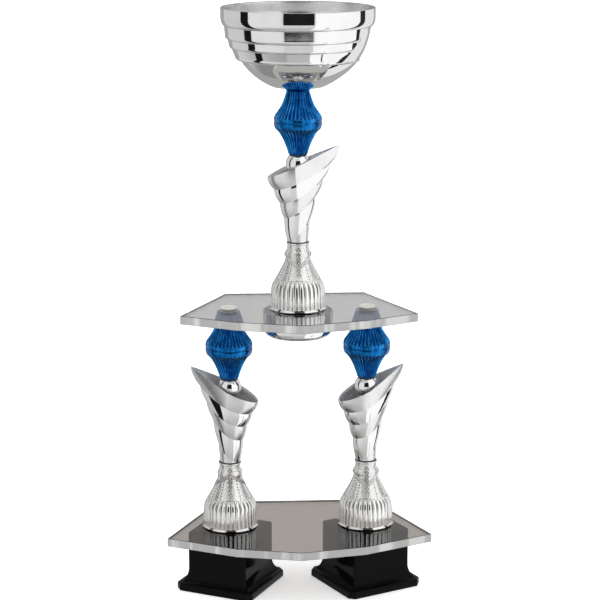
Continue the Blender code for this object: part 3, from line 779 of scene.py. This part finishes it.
def leaf(tip_reach, low_reach, half_width, sharpness, tip_height, low_height, rise):
    """One oblique outline of the torch: nearly straight to the tip, round at the low end."""
    shoulder = TORCH_SHOULDER * low_reach * sharpness
    tip_power = 2.0 / (2.0 - 0.92 * sharpness)
    low_power = 2.0 / (2.0 - 0.15 * sharpness)

    def point(angle):
        along, across = math.cos(angle), math.sin(angle)
        reach, power = tip_reach + shoulder, tip_power
        if along < 0:
            reach, power = low_reach - shoulder, low_power
        x = math.copysign(reach * abs(along) ** power, along) - shoulder
        y = math.copysign(half_width * abs(across) ** power, across)
        share = (x + low_reach) / (tip_reach + low_reach)
        return Vector((x, y, mixed(low_height, tip_height, max(share, 0.0) ** rise)))

    return point


def torch(side, finishes):
    """Sleeve of five oblique bands, each a little proud of the one below it."""
    node = f"{side}_torch"
    low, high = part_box(node)
    tip = (high.z - low.z) / MM
    mouth_low = TORCH_MOUTH_LOW * tip
    far, near, half = TORCH_TIP_REACH, TORCH_LOW_REACH, TORCH_HALF_WIDTH
    foot = TORCH_FOOT
    # tip reach, low reach, half width, sharpness, tip height, low height, rise
    edges = [
        (foot, foot, foot, 0.0, 0.0, 0.0, 1.0),
        (11.4, 9.5, 9.7, 0.15, 23.5, 2.4, 1.35),
        (16.4, 13.0, 12.0, 0.45, 44.0, 24.6, 1.45),
        (23.2, 16.8, 14.2, 0.70, 60.0, 38.5, 1.45),
        (29.2, 22.2, 15.9, 0.88, 73.5, 51.2, 1.35),
        (far, near, half, 1.0, tip, mouth_low, 1.0),
    ]
    rings = []
    looks = []
    rows = 12
    for number, (below, above) in enumerate(zip(edges, edges[1:])):
        last = above is edges[-1]
        proud = 0.0 if number == 0 else TORCH_OVERHANG
        step_in = 0.0 if last else TORCH_OVERHANG
        for row in range(rows + 1):
            t = row / rows
            eased = 1.0 - (1.0 - t) ** (1.9 if number else 1.0)
            ring = [mixed(a, b, eased) for a, b in zip(below, above)]
            ring[4] = mixed(below[4], above[4], t)
            ring[5] = mixed(below[5], above[5], t)
            ring[6] = mixed(below[6], above[6], t)
            shift = mixed(proud * 0.6, -step_in * 0.4, t)
            ring[0] += shift
            ring[1] += shift
            ring[2] += shift
            if last and row == rows:
                ring[:3] = [far, near, half]
            rings.append(leaf(*ring))
            looks.append(1 - number % 2)
    rim = edges[-1]
    for inward, lift in ((0.35, 0.12), (TORCH_WALL - 0.3, 0.12), (TORCH_WALL, -0.2)):
        rings.append(leaf(far - TIP_THINNING * inward, near - inward, half - inward, 1.0,
                          tip + lift - 0.45 * TIP_THINNING * inward - 0.12,
                          mouth_low + lift - 0.1, 1.0))
    floor = (10.4, 10.2, 10.0, 0.0, TORCH_FLOOR, TORCH_FLOOR, 1.0)
    wall_top = (far - TIP_THINNING * TORCH_WALL, near - TORCH_WALL, half - TORCH_WALL, 1.0,
                tip - 0.5 * TIP_THINNING * TORCH_WALL - 0.6, mouth_low - 0.6, 1.0)
    for row in range(1, 11):
        t = row / 10
        ring = [mixed(a, b, t) for a, b in zip(wall_top, floor)]
        bulge = 1.6 * math.sin(math.pi * t)
        ring[0] -= 1.2 * bulge
        ring[1] -= bulge
        ring[2] += 0.2 * bulge
        rings.append(leaf(*ring))
    rings.append(leaf(BORE, BORE, BORE, 0.0, TORCH_FLOOR, TORCH_FLOOR, 1.0))
    rings.append(leaf(BORE, BORE, BORE, 0.0, 0.0, 0.0, 1.0))
    rings.append(leaf(foot, foot, foot, 0.0, 0.0, 0.0, 1.0))
    looks += [2] * (len(rings) - len(looks))
    shape = wrapped(144, rings, looks)
    axis = foot_of(f"{side}_bell")
    axis.z = low.z / MM
    finished(f"{side}_banded_torch", shape, finishes, node, axis,
             TORCH_TURN[side], crease=32.0)


def knob(side, finish):
    """Polished ball on its stalk."""
    node = f"{side}_knob"
    low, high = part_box(node)
    tall = (high.z - low.z) / MM
    centre = tall - math.sqrt(KNOB_RADIUS ** 2 - KNOB_TOP ** 2)
    start = math.degrees(math.acos(KNOB_TOP / KNOB_RADIUS))
    end = -math.degrees(math.acos(KNOB_STALK / KNOB_RADIUS))
    outline = [(BORE, tall)] + arc((0.0, centre), KNOB_RADIUS, start, end, 40)
    outline += [(KNOB_STALK, 0.0), (BORE, 0.0)]
    finished(f"{side}_ball", spun(outline, 128), finish, node, foot_of(node))


# ------------------------------------------------------ plinths, caps, dome

def plinth(side, finish):
    """Square moulding: foot slab, cove and block round one hollow, in square rings."""
    node = f"{side}_plinth"
    tall = (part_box(node)[1].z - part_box(node)[0].z) / MM
    foot, block, corner = PLINTH_FOOT, PLINTH_BLOCK, PLINTH_CORNER
    levels = [(foot - 2.0, corner, 0.0), (foot - 0.6, corner, 0.35), (foot, corner, 1.2),
              (foot, corner, 6.0), (foot - 0.6, corner, 6.9), (foot - 2.2, corner, 7.6)]
    for step in range(13):
        angle = math.radians(mixed(4.0, 88.0, step / 12))
        slide, rise = 1.0 - math.sin(angle), 1.0 - math.cos(angle)
        levels.append((block + 15.5 * slide, mixed(corner, 1.0, min(1.0, step / 3)),
                       7.6 + 12.9 * rise))
    levels += [(block, 1.0, 20.9), (block, 1.0, tall - 0.5), (block - 0.3, 1.0, tall - 0.12),
               (block - 1.0, 1.0, tall)]
    hole = 2 * BORE
    ceiling = tall - 3.0
    levels += [(hole, 1.0, tall), (hole, 1.0, ceiling), (PLINTH_HOLLOW, 3.0, ceiling),
               (PLINTH_HOLLOW, 3.0, 0.0), (foot - 2.0, corner, 0.0)]

    def square(width, cut, height):
        half = width / 2
        reach = half - min(cut, half * 0.6)

        def point(angle):
            eighth = round(angle / math.tau * 8) % 8
            spots = ((half, -reach), (half, reach), (reach, half), (-reach, half),
                     (-half, reach), (-half, -reach), (-reach, -half), (reach, -half))
            return Vector((*spots[eighth], height))

        return point

    shape = wrapped(8, [square(*level) for level in levels])
    finished(f"{side}_black_plinth", shape, finish, node, foot_of(node),
             PLINTH_TURN[side], crease=24.0)


def cap(side, finish):
    """Round cream cap with a soft edge and a shallow dish in its top."""
    node = f"{side}_cap_nut"
    low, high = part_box(node)
    radius = (high.x - low.x) / 2 / MM
    shelf_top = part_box("upper_shelf")[1].z / MM
    base = foot_of(node)
    head = shelf_top + 0.3 - base.z
    top = (high.z - low.z) / MM
    outline = [(0.0, top - 0.35), (radius * 0.55, top - 0.35), (radius * 0.68, top - 0.05)]
    outline += arc((radius - 0.75, top - 0.75), 0.75, 90.0, 0.0, 6)
    outline += [(radius, head + 0.15), (radius - 0.15, head), (4.8, head), (4.8, 0.0),
                (BORE, 0.0), (BORE, top - 0.9), (0.0, top - 0.9)]
    finished(f"{side}_cream_cap", spun(outline, 96), finish, node, base)


def under_dome(finish):
    """Polished cup under the upper shelf."""
    low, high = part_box("under_dome")
    radius = (high.x - low.x) / 2 / MM
    deep = (high.z - low.z) / MM
    curve = flowing([(radius, deep), (radius * 0.997, deep * 0.55), (radius * 0.98, deep * 0.32),
                     (radius * 0.92, deep * 0.15), (radius * 0.79, deep * 0.04),
                     (radius * 0.52, 0.0), (radius * 0.2, 0.0), (0.0, 0.0)], 8)
    wall, boss = 1.2, 5.4
    inner = [(x - wall, z + wall) for x, z in curve if x > boss + 0.6][::-1]
    inner[-1] = (radius - wall, deep)
    outline = curve + [(0.0, wall), (BORE, wall), (BORE, 4.2), (boss, 4.2), (boss, wall)]
    outline += inner
    finished("polished_under_dome", spun(outline, 160), finish, "under_dome",
             foot_of("under_dome"))


# ------------------------------------------------------------ camera, studio

def camera():
    """Long lens from the front, a little to the left and above the upper shelf."""
    lens = bpy.data.cameras.new("camera")
    lens.lens = 118.0
    lens.sensor_width = 36.0
    lens.shift_x = 0.0034
    lens.clip_start = 0.1
    lens.clip_end = 50.0
    eye = bpy.data.objects.new("camera", lens)
    eye.location = (-0.0901, -1.7732, 0.6955)
    tilt, turn = -13.2, -2.9
    eye.rotation_euler = (math.radians(90.0 + tilt), 0.0, math.radians(turn))
    bpy.context.scene.collection.objects.link(eye)
    bpy.context.scene.camera = eye


def glowing(name, colour, strength, low_strength):
    """Even glow, which may fade to a lower strength below the trophy."""
    glow = Finish(name)
    height = glow.parts(glow.place())[2]
    shine = height.between(-1300.0, -100.0) * (strength - low_strength) + low_strength
    lamp = glow.node("ShaderNodeEmission", {}, {"Color": colour, "Strength": shine})
    glow.join(glow.tree.nodes["Material Output"].inputs["Surface"], lamp)
    return glow.material


def reflected(name, shape, tint, brightness, low_brightness=None):
    """A glowing sheet that is seen only in reflections."""
    mesh = bpy.data.meshes.new(name)
    shape.to_mesh(mesh)
    shape.free()
    if low_brightness is None:
        low_brightness = brightness
    mesh.materials.append(glowing(name, tint, brightness, low_brightness))
    made = bpy.data.objects.new(name, mesh)
    bpy.context.scene.collection.objects.link(made)
    made.visible_camera = False
    made.visible_diffuse = False
    made.visible_transmission = False
    made.visible_shadow = False
    return made


def card(name, start, end, low, high, brightness, low_brightness=None,
         tint=(1.0, 1.0, 1.0), distance=1.6):
    """Curved studio card, seen only in reflections, between two azimuths."""
    shape = bmesh.new()
    edge = [shape.verts.new((0.0, -distance, height)) for height in (low, high)]
    shape.edges.new(edge)
    bmesh.ops.rotate(shape, verts=shape.verts, cent=(0, 0, 0),
                     matrix=Matrix.Rotation(math.radians(start), 3, "Z"))
    bmesh.ops.spin(shape, geom=shape.verts[:] + shape.edges[:], cent=(0, 0, 0),
                   axis=(0, 0, 1), angle=math.radians(end - start), steps=24)
    reflected(name, shape, tint, brightness, low_brightness)


def studio():
    """White surroundings, with grey and dark cards for the metal to mirror."""
    world = bpy.data.worlds.new("studio")
    bpy.context.scene.world = world
    world.use_nodes = True
    backdrop = world.node_tree.nodes["Background"]
    backdrop.inputs["Color"].default_value = (1.0, 1.0, 1.0, 1.0)
    backdrop.inputs["Strength"].default_value = 1.12
    bpy.context.scene.view_settings.view_transform = "Standard"
    shape = bmesh.new()
    bmesh.ops.create_grid(shape, x_segments=1, y_segments=1, size=20.0)
    mesh = bpy.data.meshes.new("floor")
    shape.to_mesh(mesh)
    shape.free()
    pale = Finish("pale_floor", roughness=0.95, emission_strength=0.45)
    pale.set("Emission Color", (1.0, 1.0, 1.0))
    pale.set("Base Color", pale.blend(pale.noise(pale.place(), 0.01), (0.93, 0.93, 0.93),
                                      (0.95, 0.95, 0.95)))
    mesh.materials.append(pale.material)
    floor = bpy.data.objects.new("floor", mesh)
    bpy.context.scene.collection.objects.link(floor)
    floor.visible_glossy = False
    floor.visible_transmission = False
    low, high = -2.5, 3.0
    card("dark_front", -24.0, 21.0, 0.10, 1.40, 0.01, distance=1.5)
    card("front", -27.0, 23.0, low, high, 0.68, 0.50)
    card("front_left", -80.0, -27.0, low, high, 0.78, 0.40)
    card("left_gap", -95.0, -80.0, -1.0, high, 0.008)
    card("left_gap_low", -95.0, -80.0, low, -1.0, 0.60, 0.26)
    card("side_left", -143.0, -95.0, low, high, 0.62, 0.26)
    card("back_left", -180.0, -143.0, low, high, 0.38)
    card("dark_stand", 47.0, 50.0, -1.3, -0.5, 0.02, distance=1.5)
    card("front_right", 23.0, 100.0, low, high, 1.05)
    card("right_gap", 100.0, 113.0, low, high, 0.03, tint=(0.7, 0.85, 1.0))
    card("side_right", 113.0, 146.0, low, high, 0.83)
    card("back_right", 146.0, 180.0, low, high, 0.42)
    shape = bmesh.new()
    bmesh.ops.create_circle(shape, cap_ends=True, segments=48, radius=0.8)
    bmesh.ops.translate(shape, verts=shape.verts, vec=(0.0, 0.0, -1.0))
    reflected("under", shape, (1.0, 0.97, 0.93), 0.45).visible_transmission = True


# --------------------------------------------------------------------- build

def build():
    camera()
    studio()
    plated = chrome("plated_chrome")
    spun_sheet = chrome("spun_chrome", tone=0.92, dull=0.045, ripple=0.02)
    satin = chrome("satin_chrome", tone=0.90, dull=0.26, ripple=0.001)
    lining = chrome("satin_lining", tone=0.95, dull=0.45, ripple=0.001)
    rubber = dark_rubber("dark_ring")
    # The grey tints of the sheets are painted shade.
    sheets = {"upper_shelf": clear_acrylic("clear_sheet", (0.50, 0.50, 0.50)),
              "lower_shelf": clear_acrylic("warm_clear_sheet", (0.33, 0.30, 0.275))}
    black = black_moulding("black_gloss")
    cream = cream_plastic("cream")
    iron = cast_iron("cast_weight")
    for name, clear in sheets.items():
        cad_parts[name].material_slots[0].material = clear
    for side in SIDES:
        foot = foot_of(f"{side}_bell")
        bell(side, hammered_chrome(f"{side}_cast_chrome", foot), rubber)
        torch(side, (plated, satin, lining))
        knob(side, plated)
        spindle(side, streaked_blue(f"{side}_streaked_blue", foot), rubber)
        zinc = zinc_hardware(f"{side}_zinc", foot)
        for part in ("rod", "rod_nut", "rod_washer"):
            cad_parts[f"{side}_{part}"].material_slots[0].material = zinc
        if side == "upper":
            continue
        plinth(side, black)
        cap(side, cream)
        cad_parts[f"{side}_plinth_weight"].material_slots[0].material = iron
    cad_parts["bowl_washer"].material_slots[0].material = zinc
    under_dome(plated)
    bowl_seat(streaked_blue("seat_blue", foot_of("bowl_seat")))
    bowl((spun_sheet, satin))
    bowl_nut(zinc)


build()
